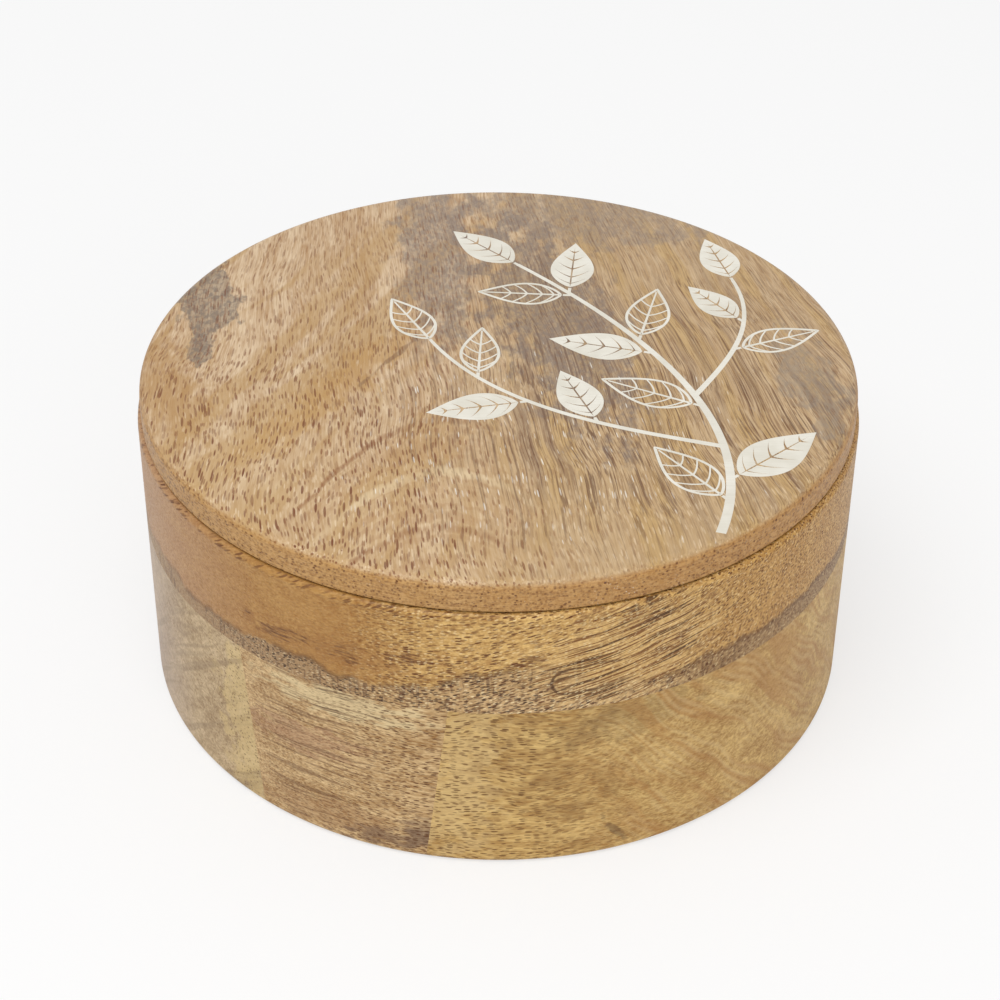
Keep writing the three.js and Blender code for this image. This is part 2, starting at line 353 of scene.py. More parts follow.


# %% [markdown]
# The sprig's main stem bows up the right of the lid, with a long twig and a short one. Each stem lists
# its leaves: how far along the stem, on which side (1 left, -1 right and 0 at the end), how many
# millimetres long, and whether it is filled. A short stalk joins each leaf to its stem.

# %% Stems
MAIN_STEM = [(42, -58), (53, -24), (34, 10), (4, 40)]
LEFT_TWIG = [tuple(bezier(MAIN_STEM, 0.28)[0][0]), (26, -24), (0, -18), (-14, 8)]
RIGHT_TWIG = [tuple(bezier(MAIN_STEM, 0.46)[0][0]), (48, 2), (56, 16), (51, 34)]
STEMS = [
    {"curve": MAIN_STEM, "widths": (2.0, 0.9), "leaves": [
        (0.10, 1, 20, False), (0.17, -1, 22, True), (0.42, 1, 20, False), (0.62, 1, 20, True),
        (0.67, -1, 19, False), (0.86, 1, 18, False), (0.87, -1, 19, True), (1.0, 0, 19, True)]},
    {"curve": LEFT_TWIG, "widths": (1.3, 0.8), "leaves": [
        (0.40, -1, 18, True), (0.62, 1, 19, True), (0.80, -1, 17, False), (1.0, 0, 18, False)]},
    {"curve": RIGHT_TWIG, "widths": (1.3, 0.8), "leaves": [
        (0.42, -1, 18, False), (0.66, 1, 16, True), (1.0, 0, 17, True)]},
]
LEAF_GAP = 1.5
LEAF_ANGLE = math.radians(46)
STEM_STEPS = 80
STALK_STEPS = 4
STALK_WIDTH = 0.7
STALK_GAP = 0.35

# %% Stem pieces and leaf places
leaf_places = []
stem_patches = []
share = np.linspace(0, 1, STEM_STEPS)
for stem in STEMS:
    path, _ = bezier(stem["curve"], share)
    width = np.interp(share, [0, 1], stem["widths"])
    stem_patches.append(ribbon(path, width, TOP - LAYER_STEP * len(stem_patches)))
    for at, side, length, filled in stem["leaves"]:
        place, ahead = bezier(stem["curve"], at)
        angle = math.atan2(ahead[0, 1], ahead[0, 0]) + side * LEAF_ANGLE
        out = np.array([math.cos(angle), math.sin(angle)])
        reach = LEAF_GAP + abs(side) * stem["widths"][0] / 2
        foot = place[0] + out * reach
        leaf_places.append({"foot": foot, "angle": angle, "length": length, "filled": filled})
        stalk = place[0] + out * np.linspace(0, reach - STALK_GAP, STALK_STEPS)[:, None]
        stem_patches.append(ribbon(stalk, STALK_WIDTH, TOP - 2 * LAYER_STEP))
inlay_stem = joined("inlay_stem_resin", stem_patches)
print("stem:", len(inlay_stem.data.polygons), "faces,", len(leaf_places), "leaf places")

# %% [markdown]
# A leaf is a blade whose half width at the share s of its length is sin(pi s^0.75) of the widest. It is
# drawn in the directions of its veins: a line leaves the midrib, leans forward and bends a little towards
# the tip, and ends on the margin. The first parameter m says where on the margin it ends, and the second
# t how far along it is. The blade starts a little way up the midrib, and the lowest lines are straight,
# so that no face turns over.

# %% Leaf shape
LEAF_SLIMNESS = 0.5
LEAF_FULLNESS = 0.75
VEIN_LEAN = 0.9
VEIN_BOW = 0.12
BOW_FROM = 0.085
BLADE_FROM = 0.03
VEINS_AT = [0.30, 0.45, 0.60, 0.74, 0.86]


def half_width(s, length):
    """Half the leaf's width at the share s of its length."""
    return LEAF_SLIMNESS * length / 2 * np.sin(math.pi * np.clip(s, 0, 1) ** LEAF_FULLNESS)


def blade(m, t, length, side):
    """A point of the vein line that ends at the share m of the margin, t of the way out from the midrib.

    The half width there is the line's rise. Its foot lies VEIN_LEAN times the rise behind its end, and the
    line bends back by VEIN_BOW times the rise times sin(pi t).
    """
    rise = half_width(m, length)
    foot = np.maximum(0, m * length - VEIN_LEAN * rise)
    run = m * length - foot
    bow = VEIN_BOW * rise * np.sin(math.pi * t) * np.clip(foot / (BOW_FROM * length), 0, 1)
    return np.stack([foot + run * t - bow, side * rise * t], axis=-1)


def placed(flat, place, height):
    """Points drawn with the stalk at the origin and the tip on +X, moved to their place on the lid."""
    c, s = math.cos(place["angle"]), math.sin(place["angle"])
    x = place["foot"][0] + c * flat[..., 0] - s * flat[..., 1]
    y = place["foot"][1] + s * flat[..., 0] + c * flat[..., 1]
    return np.stack([x, y, np.full(x.shape, height)], axis=-1)


# %% Filled leaves
SLIT = 0.34
SLIT_ENDS = 0.86
MARGIN_RUN = 0.75
MIDRIB_SLIT_OPENS = 0.12
MIDRIB_SLIT_ENDS = 0.9
MIDRIB_SLIT_FADES = 0.3
PANEL_ROWS, PANEL_COLUMNS = 9, 15


def filled_leaf(place):
    """A blade in panels: each lies between two veins, and its sides draw back from them by half a slit.

    As a share of the margin, half a slit is SLIT / 2 over (MARGIN_RUN length), and it narrows to 0 at
    SLIT_ENDS of the vein. The slit of the midrib opens over its first part and fades before the tip.
    """
    length = place["length"]
    t = np.linspace(0, 1, PANEL_COLUMNS)[None, :]
    k = np.linspace(0, 1, PANEL_ROWS)[:, None]
    slit = SLIT / 2 * np.clip(1 - t / SLIT_ENDS, 0, 1) / (length * MARGIN_RUN)
    edges = [BLADE_FROM] + VEINS_AT + [1.0]
    patches = []
    for side in (-1, 1):
        for low, high in zip(edges[:-1], edges[1:]):
            from_m = low + slit * (low > BLADE_FROM)
            to_m = high - slit * (high < 1)
            flat = blade(from_m + (to_m - from_m) * k, t, length, side)
            reached = flat[..., 0] / length
            open_there = np.clip(reached / MIDRIB_SLIT_OPENS, 0, 1)
            near = SLIT / 2 * np.clip((MIDRIB_SLIT_ENDS - reached) / MIDRIB_SLIT_FADES, 0, 1) * open_there
            flat[..., 1] += side * near * (1 - t) ** 2
            faces = grid_faces(*flat.shape[:2])
            patches.append((placed(flat, place, TOP).reshape(-1, 3), faces[:, ::-1] if side > 0 else faces))
    return patches


# %% Outline leaves
RIM_WIDTH = 0.62
MIDRIB_WIDTHS = (0.6, 0.35)
VEIN_WIDTHS = (0.42, 0.3)
RIM_SPAN, MIDRIB_REACH, VEIN_REACH = 0.985, 0.93, 0.97
RIM_STEPS, MIDRIB_STEPS, VEIN_STEPS = 60, 30, 14


def outline_leaf(place):
    """A line just inside the margin, the midrib and the veins, each a ribbon."""
    length = place["length"]
    s = np.linspace(0, 1, RIM_STEPS)
    margin = np.stack([s * length, half_width(s, length)], 1)
    around = np.concatenate([margin, (margin * (1, -1))[::-1][1:]])
    inward = 1 - RIM_WIDTH / (LEAF_SLIMNESS * length)
    rim = np.stack([length / 2 + (around[:, 0] - length / 2) * RIM_SPAN, around[:, 1] * inward], 1)
    midrib = np.stack([np.linspace(0, length * MIDRIB_REACH, MIDRIB_STEPS), np.zeros(MIDRIB_STEPS)], 1)
    t = np.linspace(0, VEIN_REACH, VEIN_STEPS)
    vein_widths = np.linspace(*VEIN_WIDTHS, VEIN_STEPS)
    lines = [(rim, RIM_WIDTH), (midrib, np.linspace(*MIDRIB_WIDTHS, MIDRIB_STEPS))]
    lines += [(blade(m, t, length, side), vein_widths) for side in (-1, 1) for m in VEINS_AT[:-1]]
    return [ribbon(placed(line, place, TOP)[:, :2], width, TOP - LAYER_STEP * min(number, 2))
            for number, (line, width) in enumerate(lines)]


# %% Leaf pieces
inlay_leaves = []
for number, place in enumerate(leaf_places, start=1):
    kind, drawn = ("filled", filled_leaf) if place["filled"] else ("outline", outline_leaf)
    inlay_leaves.append(joined(f"inlay_{kind}_leaf_{number:02d}_resin", drawn(place)))
print("leaves:", [len(leaf.data.polygons) for leaf in inlay_leaves], "faces")

# %% [markdown]
# ## How the materials are written
#
# Each material is a small tree of nodes. One function adds a node, sets it and links it, and hands back
# the socket that it gives. Its inputs are a dictionary, or a list in the node's own order. For MapRange
# this order is the value, the two ends that it is measured between, and what these two give, or 0 and 1
# if nothing is said. Colours are written as they look on a screen and turned to linear light by one
# function. All patterns read object coordinates, in millimetres, so a pattern's size can be taken from
# the real wood.

# %% Nodes and colours
SMOOTH = {"interpolation_type": "SMOOTHSTEP"}
# The node tree that is being written lies on the bench, and every new node goes into it.
bench = SimpleNamespace(tree=None)


def begin(owner):
    """Empties the node tree of a new material or world and puts it on the bench."""
    owner.use_nodes = True
    bench.tree = owner.node_tree
    bench.tree.nodes.clear()
    return owner


def node(kind, inputs=(), out=0, **settings):
    """Adds a shader node, with values or links for its inputs, and hands back one output, if it has any."""
    made = bench.tree.nodes.new("ShaderNode" + kind)
    for key, value in settings.items():
        setattr(made, key, value)
    for key, value in (inputs.items() if isinstance(inputs, dict) else enumerate(inputs)):
        if isinstance(value, bpy.types.NodeSocket):
            bench.tree.links.new(value, made.inputs[key])
        else:
            made.inputs[key].default_value = value
    return made.outputs[out] if made.outputs else None


def linear(colour):
    """An sRGB hex colour as linear red, green, blue and alpha."""
    parts = [int(colour[k:k + 2], 16) / 255 for k in (1, 3, 5)]
    return [c / 12.92 if c <= 0.04045 else ((c + 0.055) / 1.055) ** 2.4 for c in parts] + [1.0]


# The factor, the two colours and the result of a colour mix, by their place on the node.
MIX_BY, MIX_A, MIX_B, MIX_OUT = 0, 6, 7, 2


def stacked(base, *layers):
    """Colours over a base. A layer is a colour and its masks: it covers as much as their product says."""
    result = linear(base)
    for colour, *masks in layers:
        cover = masks[0]
        for mask in masks[1:]:
            cover = node("Math", [cover, mask], operation="MULTIPLY")
        result = node("Mix", {MIX_BY: cover, MIX_A: result, MIX_B: linear(colour)}, out=MIX_OUT,
                      data_type="RGBA")
    return result


# %% [markdown]
# ## Patterns that wood is made of
#
# Mango wood is coarse and even, with short open pores that show as dashes along the grain and as dots on
# the end grain. Its colour drifts in bands, and a fungus often stains it grey. Each of these is one
# pattern:
#
# - A drift is smooth noise, stretched along the grain.
# - A pore is a thin spindle, made from cells that are longer along the grain than across. It shows as a
#   dash or a dot, depending on how the surface cuts it, as a real pore does.
# - A patch is an ellipse with a ragged edge.
#
# Sizes are in millimetres: along the grain, across it and through it. A real pore is 0.2 to 0.3 mm wide,
# and a fibre is far finer. Both are too fine to show here, so pores are drawn about 0.5 mm wide and
# fibres 0.3 to 0.45 mm. A seed moves a pattern, so that two of one kind don't lie on each other.

# %% Places and noise
NOISE_SWING = 0.25
NOISE_ROUGHNESS = 0.55
# The noise's values at which a pattern with firm edges starts and is full.
FIRM = (0.35, 0.65)


def object_mm():
    """Object coordinates in millimetres."""
    place = node("TexCoord", out="Object")
    return node("Mapping", {"Vector": place, "Scale": (1 / MM,) * 3})


def warped(place, size, shift):
    """A place moved by smooth noise of a given size, by up to about the shift, so that grain wanders."""
    sized = node("VectorMath", {0: place, "Scale": 1 / size}, operation="SCALE")
    noise = node("TexNoise", {"Vector": sized, "Scale": 1.0, "Detail": 1.0}, out="Color")
    centred = node("VectorMath", [noise, (0.5, 0.5, 0.5)], operation="SUBTRACT")
    stretch = tuple(s / NOISE_SWING for s in shift)
    return node("VectorMath", [centred, stretch, place], operation="MULTIPLY_ADD")


def drift(place, sizes, low=0.3, high=0.7, detail=2.0, seed=0.0):
    """Smooth noise, its features as long as the sizes: 0 where it is below low, 1 where it is above high."""
    sized = node("Mapping", {"Vector": place, "Location": (seed,) * 3, "Scale": tuple(1 / s for s in sizes)})
    noise = node("TexNoise", {"Vector": sized, "Scale": 1.0, "Detail": detail, "Roughness": NOISE_ROUGHNESS})
    return node("MapRange", [noise, low, high], **SMOOTH)


def blended(*patterns):
    """Patterns added up, each with its own weight, such as broad bands, a mottle and fibres."""
    total = 0.0
    for pattern, weight in patterns:
        total = node("Math", [pattern, weight, total], operation="MULTIPLY_ADD")
    return total


# %% Pores and patches
PORE_CORE = 0.65


def pores(grain, cell, reach, faintest=0.5, seed=0.0):
    """Spindles, one to a cell: from 1 at the middle to 0 at the reach, as a share of the cell.

    Each spindle has a strength of its own, from the faintest, which may be below 0 for none at all, to 1.
    """
    sized = node("Mapping", {"Vector": grain, "Location": (seed,) * 3, "Scale": tuple(1 / c for c in cell)})
    near = node("TexVoronoi", {"Vector": sized, "Scale": 1.0}, out="Distance")
    luck = node("SeparateColor", [near.node.outputs["Color"]])
    strength = node("MapRange", [luck, 0, 1, faintest, 1])
    inside = node("MapRange", [near, reach, reach * PORE_CORE], **SMOOTH)
    return node("Math", [inside, strength], operation="MULTIPLY", use_clamp=True)


def patch(place, torn, centre, radii, angle=0.0, ragged=0.5, soft=0.35):
    """An ellipse on a flat place: 1 inside and 0 outside.

    The torn noise moves its edge by the ragged share of the radii, and the edge fades over the soft share.
    """
    local = node("Mapping", [place, (*centre, 0), (0, 0, math.radians(angle)), (*radii, 1)],
                 vector_type="TEXTURE")
    away = node("VectorMath", [local], out="Value", operation="LENGTH")
    moved = node("Math", [torn, 2 * ragged, away], operation="MULTIPLY_ADD")
    return node("MapRange", [moved, 1 + ragged + soft / 2, 1 + ragged - soft / 2], **SMOOTH)


# %% Slopes and distances
def steep(low, high):
    """1 where the surface is steep and the Z of its normal below low, and 0 where it is level, past high."""
    normal = node("TexCoord", out="Normal")
    upward = node("VectorMath", [normal, (0, 0, 1)], out="Value", operation="DOT_PRODUCT")
    size = node("Math", [upward], operation="ABSOLUTE")
    level = node("MapRange", [size, low, high], **SMOOTH)
    return node("Math", [1.0, level], operation="SUBTRACT")


def apart(value, centre):
    """How far a value is from a centre, to either side."""
    off = node("Math", [value, centre], operation="SUBTRACT")
    return node("Math", [off], operation="ABSOLUTE")


# %% [markdown]
# ## Lacquered wood
#
# Every board ends in the same surface: wood under a thin satin lacquer. The lacquer fills most of each
# pore, so the pores leave only shallow dents, a little duller than the film. The fibres leave a faint
# ripple. Sanded wood under such a film reflects less than bare plastic or glass does, so its specular
# level is low, and dark pores stay dark. The colour, the dents and the fibres come from the board's own
# function.

# %% The lacquered surface
PORE_DENT = 0.06 * MM
RIPPLE = 0.02 * MM
FILM_ROUGHNESS, PORE_ROUGHNESS = 0.45, 0.65
LACQUER = {"IOR": 1.45, "Specular IOR Level": 0.28, "Coat Weight": 0.15, "Coat Roughness": 0.3}


def lacquered(name, wood):
    """A board's material: the colour, the dents and the fibres of its wood, under one lacquer."""
    material = begin(bpy.data.materials.new(name))
    colour, dents, fibres = wood()
    relief = node("Bump", {"Height": fibres, "Distance": RIPPLE})
    relief = node("Bump", {"Height": dents, "Distance": PORE_DENT, "Normal": relief}, invert=True)
    rough = node("MapRange", [dents, 0, 1, FILM_ROUGHNESS, PORE_ROUGHNESS])
    surface = node("BsdfPrincipled", {"Base Color": colour, "Roughness": rough, "Normal": relief, **LACQUER})
    node("OutputMaterial", {"Surface": surface})
    print(name, len(bench.tree.nodes), "nodes")
    return material


# %% [markdown]
# ## The lid board
#
# The lid is a flat-sawn board with its grain from back to front. The fibres spread a little towards the
# front, so they are drawn on rays from a point far behind the lid. Its places and areas are worked out
# once, and each function after that hands back layers of colour, from the bottom up.

# %% Lid places
RAYS_FROM_X, RAYS_FROM_Y = -59.0, 414.0
# Where the front starts and is full, along Y, and how strong the pores are where there are fewest.
FRONT, FEWEST_PORES = (-8.0, -40.0), 0.45


def lid_places():
    """The lid's places and areas. Across the rays the grain reads RAYS_FROM_Y times the ray's slope."""
    lid = SimpleNamespace(mm=object_mm())
    lid.x, lid.y, z = node("SeparateXYZ", [lid.mm]).node.outputs
    lid.top = node("CombineXYZ", [lid.x, lid.y])
    off_ray = node("Math", [lid.x, RAYS_FROM_X], operation="SUBTRACT")
    to_start = node("Math", [RAYS_FROM_Y, lid.y], operation="SUBTRACT")
    slope = node("Math", [off_ray, to_start], operation="DIVIDE")
    across = node("Math", [slope, RAYS_FROM_Y], operation="MULTIPLY")
    straight = node("CombineXYZ", [lid.y, across, z])
    lid.grain = warped(straight, 28.0, (0, 1.2, 1.2))
    lid.torn = drift(lid.mm, (4, 7, 7), detail=3.0)
    lid.mark = partial(patch, lid.top, lid.torn)
    lid.speckle = drift(lid.mm, (0.8, 1.4, 0.8), *FIRM, detail=1.0)
    lid.right = lid.mark((37, 0), (42, 95), ragged=0.15, soft=0.7)
    lid.front = node("MapRange", [lid.y, *FRONT])
    dense = drift(lid.grain, (26, 9, 9), 0.32, 0.55, seed=11.0)
    lid.dense = node("MapRange", [dense, 0, 1, FEWEST_PORES, 1.0])
    lid.thin_lines = drift(lid.grain, (34, 0.45, 0.5), 0.54, 0.66, detail=1.0, seed=5.0)
    return lid


# %% [markdown]
# Golden bands lean across the left half. In front of them lie the arcs of the growth rings, which a flat
# cut turns into parabolas: one narrow dark arc and one pale arc to each period, over a fine even ripple.

# %% Lid bands
BAND_TURN = math.radians(-66)


def lid_bands(lid):
    """Broad bands that lean across the left, two golden ones by themselves, and a paler front."""
    leaning = node("Mapping", {"Vector": lid.top, "Rotation": (0, 0, BAND_TURN)})
    bands = drift(warped(leaning, 26.0, (0, 3, 0)), (90, 7, 30), 0.48, 0.6, seed=7.7)
    left = node("Math", [1.0, lid.right], operation="SUBTRACT")
    gold_band = lid.mark((-32, -8), (37, 4.5), angle=58, ragged=0.5, soft=0.9)
    gold_edge = lid.mark((-67, -12), (20, 7), angle=-68, ragged=0.5, soft=0.9)
    return [
        ("#b18a50", bands, left, 0.55),
        ("#b48a4e", gold_band, 0.7),
        ("#ab8149", gold_edge, 0.65),
        ("#c6a472", lid.front, 0.35),
    ]


# %% Lid arcs
ARC_TOP_X, ARC_BEND, ARC_WOBBLE = -10.0, 0.04, 1.6
ARC_PERIOD, ARC_DARK_AT = 36.0, -20.0
# The sine's values where the two lines start and are full, and how strong an arc is in its gaps.
DARK_LINE, PALE_LINE, IN_GAPS = (0.965, 0.999), (-0.94, -0.998), 0.45


def lid_arcs(lid):
    """Growth rings as a flat cut shows them: y + ARC_BEND (x - ARC_TOP_X)^2 is the same all along each.

    A sine of this value is highest on the dark arc and lowest on the pale one.
    """
    past_top = node("Math", [lid.x, ARC_TOP_X], operation="SUBTRACT")
    square = node("Math", [past_top, past_top], operation="MULTIPLY")
    arcs = node("Math", [square, ARC_BEND, lid.y], operation="MULTIPLY_ADD")
    arcs = node("Math", [lid.torn, ARC_WOBBLE, arcs], operation="MULTIPLY_ADD")
    place = node("CombineXYZ", [arcs, lid.x])
    growth = drift(place, (2.6, 45, 1), 0.42, 0.62, seed=31.0)
    pace = 2 * math.pi / ARC_PERIOD
    turn = node("Math", [arcs, pace, math.pi / 2 - pace * ARC_DARK_AT], operation="MULTIPLY_ADD")
    wave = node("Math", [turn], operation="SINE")
    dark = node("MapRange", [wave, *DARK_LINE])
    pale = node("MapRange", [wave, *PALE_LINE])
    gaps = drift(place, (30, 11, 1), 0.4, 0.6, seed=37.0)
    gaps = node("MapRange", [gaps, 0, 1, IN_GAPS, 1.0])
    area = lid.mark((-15, -46), (25, 28), ragged=0.15, soft=0.5)
    return [
        ("#a67a50", growth, area, 0.3),
        ("#94663e", dark, area, gaps, 0.7),
        ("#e6cfa6", pale, area, gaps, 0.65),
    ]


# %% [markdown]
# Down the right run straight dark streaks and hair lines, calmer at the back and at the very front. A
# crack as fine as a hair lies left of the middle. Grey stains lie at the left edge, at the right edge and
# in long tongues from the back.

# %% Lid lines
# Where the lines start to come in and are full, along Y, and how strong they are before that.
CALM_BACK, AT_BACK = (45.0, -15.0), 0.4
CALM_FRONT, AT_FRONT = (-62.0, -30.0), 0.35


def lid_lines(lid):
    """Streaks and lines along the grain of the right half, and the crack."""
    streaks = drift(lid.grain, (60, 3.0, 3), 0.5, 0.68, detail=1.5, seed=55.0)
    golden = drift(lid.grain, (45, 5, 5), 0.48, 0.62, detail=1.5, seed=57.0)
    hair_lines = drift(lid.grain, (15, 0.26, 0.26), 0.50, 0.62, detail=0.0, seed=58.0)
    off_back = node("MapRange", [lid.y, *CALM_BACK, AT_BACK, 1.0])
    off_front = node("MapRange", [lid.y, *CALM_FRONT, AT_FRONT, 1.0])
    lively = node("Math", [off_back, off_front], operation="MULTIPLY")
    wandering = warped(lid.top, 7.0, (0.5, 0.5, 0))
    crack = patch(wandering, lid.torn, (-21, 4), (14, 0.5), angle=59, ragged=0.7, soft=0.9)
    return [
        ("#b5976c", lid.right, 0.5),
        ("#c09d64", golden, lid.right, 0.6),
        ("#7b604b", streaks, lid.right, lively, 0.6),
        ("#563618", lid.thin_lines, lid.right, lively, lid.dense, 0.75),
        ("#6b4524", hair_lines, lid.right, lively, lid.dense, 0.5),
        ("#75543a", crack, 0.55),
    ]


# %% Lid stains
LEAST_STAIN = 0.55


def lid_stains(lid):
    """Grey stains, each a ragged ellipse, or two of them for the one at the left edge."""
    speckled = node("MapRange", [lid.speckle, 0, 1, LEAST_STAIN, 1.0])
    left_back = lid.mark((-63, 25), (6.5, 16), angle=8, ragged=0.35, soft=0.25)
    left_front = lid.mark((-62.5, 8), (2.6, 10), ragged=0.5, soft=0.3)
    left_edge = node("Math", [left_back, left_front], operation="MAXIMUM")
    long_tongue = lid.mark((-14, 44), (8.5, 37), angle=3, ragged=0.3, soft=0.5)
    middle_tongue = lid.mark((12, 18), (12, 42), angle=14, ragged=0.45, soft=0.5)
    back = lid.mark((20, 62), (32, 13), ragged=0.5, soft=0.6)
    right_edge = lid.mark((65, -8), (5.5, 20), angle=12, ragged=0.5, soft=0.5)
    return [
        ("#75675a", left_edge, speckled, 0.85),
        ("#82746a", long_tongue, speckled, 0.72),
        ("#7b6c62", middle_tongue, speckled, 0.75),
        ("#8a7a6d", back, speckled, 0.65),
        ("#8f8070", right_edge, speckled, 0.65),
    ]


# %% [markdown]
# The pores are long and dark at the front left, and fewer towards the back and the right. Between them
# lie pale flecks, and around the inlay the resin has filled some of them. The turned edge of the lid is
# browner, in fine level layers, with dark specks where it cuts the pores.

# %% Lid edge
LID_EDGE_SLOPE = (0.35, 0.85)


def lid_edge(lid):
    """The turned edge: two browns, level layers, specks and a pale speckle."""
    edge = steep(*LID_EDGE_SLOPE)
    layers = drift(lid.mm, (2.6, 2.6, 0.32), 0.45, 0.62, detail=1.0, seed=47.0)
    specks = pores(lid.grain, (1.4, 0.6, 0.6), 0.46, faintest=0.2, seed=45.0)
    return [
        ("#b18449", edge, 0.85),
        ("#a87236", edge, lid.right, 0.35),
        ("#83562b", edge, layers, 0.45),
        ("#552808", edge, specks, 0.9),
        ("#d6ac72", edge, lid.speckle, 0.3),
    ]


# %% Lid wood
# Where the pores start to come in and are full, along Y, and how strong they are at the back and the right.
PORES_COME_IN, PORES_AT_BACK, PORES_AT_RIGHT = (50.0, -45.0), 0.45, 0.2


def lid_wood():
    """The lid: a tone of broad bands, mottle and fibres, the layers above it, pores, and resin in some."""
    lid = lid_places()
    broad = drift(lid.grain, (75, 8, 8), seed=3.1)
    mottle = drift(lid.grain, (9, 1.3, 1.3), *FIRM, seed=21.0)
    fibres = drift(lid.grain, (8, 0.32, 0.32), *FIRM, detail=1.0)
    tone = blended((broad, 0.30), (mottle, 0.30), (fibres, 0.40))

    toward_front = node("MapRange", [lid.y, *PORES_COME_IN, PORES_AT_BACK, 1.0])
    pore_area = node("MapRange", [lid.right, 0, 1, toward_front, PORES_AT_RIGHT])
    fleck_area = node("Math", [pore_area, 3.0], operation="POWER")
    long_pores = pores(lid.grain, (5.6, 0.66, 0.66), 0.38, faintest=0.35)
    short_pores = pores(lid.grain, (3.2, 0.56, 0.56), 0.38, faintest=0.1, seed=40.0)
    pale_flecks = pores(lid.grain, (4.0, 0.5, 0.5), 0.40, faintest=0.0, seed=85.0)
    resin_in_pores = pores(lid.grain, (5.0, 0.5, 0.5), 0.30, faintest=-0.8, seed=80.0)
    resin_area = lid.mark((10, -30), (32, 28), ragged=0.6, soft=1.0)
    middle = lid.mark((8, -5), (34, 60), ragged=0.3, soft=0.8)

    colour = stacked(
        "#ab8459",
        ("#dec5a3", tone),
        *lid_bands(lid),
        *lid_arcs(lid),
        *lid_lines(lid),
        ("#eed8b6", pale_flecks, fleck_area, 0.5),
        ("#ead2ae", pale_flecks, lid.right, lid.front, 0.5),
        *lid_stains(lid),
        ("#7f4a28", short_pores, pore_area, 0.85),
        ("#733f20", long_pores, lid.dense, pore_area, 1.0),
        *lid_edge(lid),
        ("#efe9dd", resin_in_pores, resin_area, 0.9),
        ("#735237", middle, lid.thin_lines, 0.45),
    )
    dents = node("Math", [long_pores, short_pores], operation="MAXIMUM")
    return colour, dents, fibres


# Flat-sawn mango wood, sanded and lacquered: a warm tan that flickers with dashes and hardly shines.
lid_material = lacquered("mango_flat_sawn_lid", lid_wood)

# %% [markdown]
# ## Boards of the wall
#
# All four boards of the body are seen on the round outside of the wall, so their marks are placed there,
# by millimetres round the wall from the front and millimetres up. The skin keeps such marks off the
# inside, the rim and the floor, where the wood goes on plain.

# %% Places on the wall
SKIN_FROM, SKIN_FULL = 4.0, 3.0
WALL_SLOPE = (0.94, 0.99)


def wall_board(torn_sizes):
    """The places of a board by name.

    The wall reads (radius times the angle from the front, height, 0). The skin goes from 0 at SKIN_FROM
    inside the outer radius to 1 at SKIN_FULL, and is 0 where the surface lies level.
    """
    mm = object_mm()
    x, y, z = node("SeparateXYZ", [mm]).node.outputs
    forward = node("Math", [y, -1.0], operation="MULTIPLY")
    angle = node("Math", [x, forward], operation="ARCTAN2")
    aside = node("Math", [angle, BODY_RADIUS], operation="MULTIPLY")
    wall = node("CombineXYZ", [aside, z])
    flat = node("CombineXYZ", [x, y])
    radius = node("VectorMath", [flat], out="Value", operation="LENGTH")
    far_out = node("MapRange", [radius, BODY_RADIUS - SKIN_FROM, BODY_RADIUS - SKIN_FULL])
    skin = node("Math", [far_out, steep(*WALL_SLOPE)], operation="MULTIPLY")
    mark = partial(patch, wall, drift(wall, torn_sizes, detail=4.0))
    return SimpleNamespace(mm=mm, x=x, y=y, z=z, aside=aside, wall=wall, skin=skin, mark=mark)


# %% [markdown]
# ## The upper board
#
# The ring's board has its grain from left to right, so its front shows dashes and its two sides show end
# grain, which is smoother. The fibres climb towards the right. A grey-brown band of heartwood lies along
# the glue line, with a dark border, and its top rises to a low hill near the front.

# %% Heartwood band
BAND_TOP, BAND_HILL, BAND_WOBBLE = 43.6, 6.0, 2.6
HILL_AT, HILL_REACH, HILL_CREST = 4.0, 26.0, 2.0
BORDER_AT, BORDER_WIDTH = 1.0, 1.3
# The depths at which the band starts and is full, and the same for parts of it along X.
BAND_DEPTH = (0.6, 1.8)
BAND_LEFT, BAND_RIGHT, BAND_FAR_LEFT = (-20.0, -42.0), (29.0, 40.0), (-47.0, -62.0)
SPECKS_AT_ENDS = 0.15


